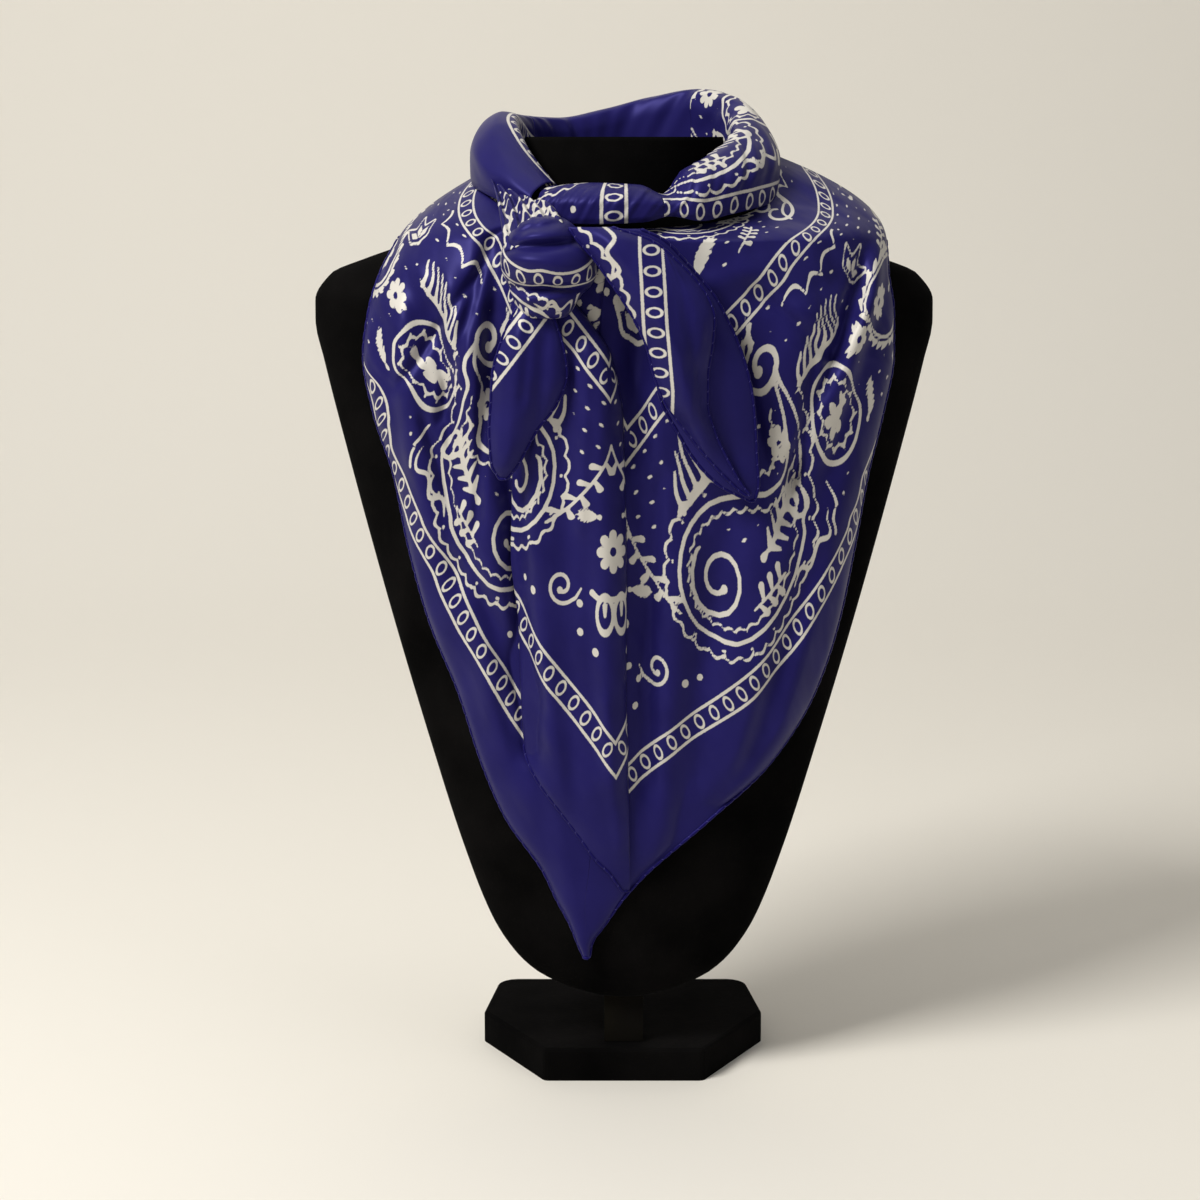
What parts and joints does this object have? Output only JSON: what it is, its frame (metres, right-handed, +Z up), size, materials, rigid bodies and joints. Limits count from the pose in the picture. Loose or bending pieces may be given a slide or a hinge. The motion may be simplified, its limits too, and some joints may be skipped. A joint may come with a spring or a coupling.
{
  "type": "wild rag on display bust",
  "caption": "Large square silk neck scarf folded to a triangle, wrapped and knotted in front, worn on a limbless velvet display bust with a flat base.",
  "frame": {"origin": "middle of the base's flat underside", "axes": "+Z up along the bust, -Y towards the front where the knot and the triangle show, +X towards the viewer's right"},
  "size_m": [0.3456, 0.2035, 0.5599],
  "materials": {
    "silk": "printed silk twill, royal blue with a warm white bandana print, soft sheen",
    "velvet": "black flocked velvet, matt"
  },
  "bodies": {
    "root": {"front_under": "silk", "front_top": "silk", "wing_left": "silk", "wing_right": "silk", "collar_front": "silk", "collar_right": "silk", "collar_back": "silk", "collar_left": "silk", "nape_cross": "silk", "knot": "silk", "tail_left": "silk", "tail_right_front": "silk", "tail_right_back": "silk", "bust": "velvet", "stem": "velvet", "base": "velvet"}
  },
  "joints": []
}
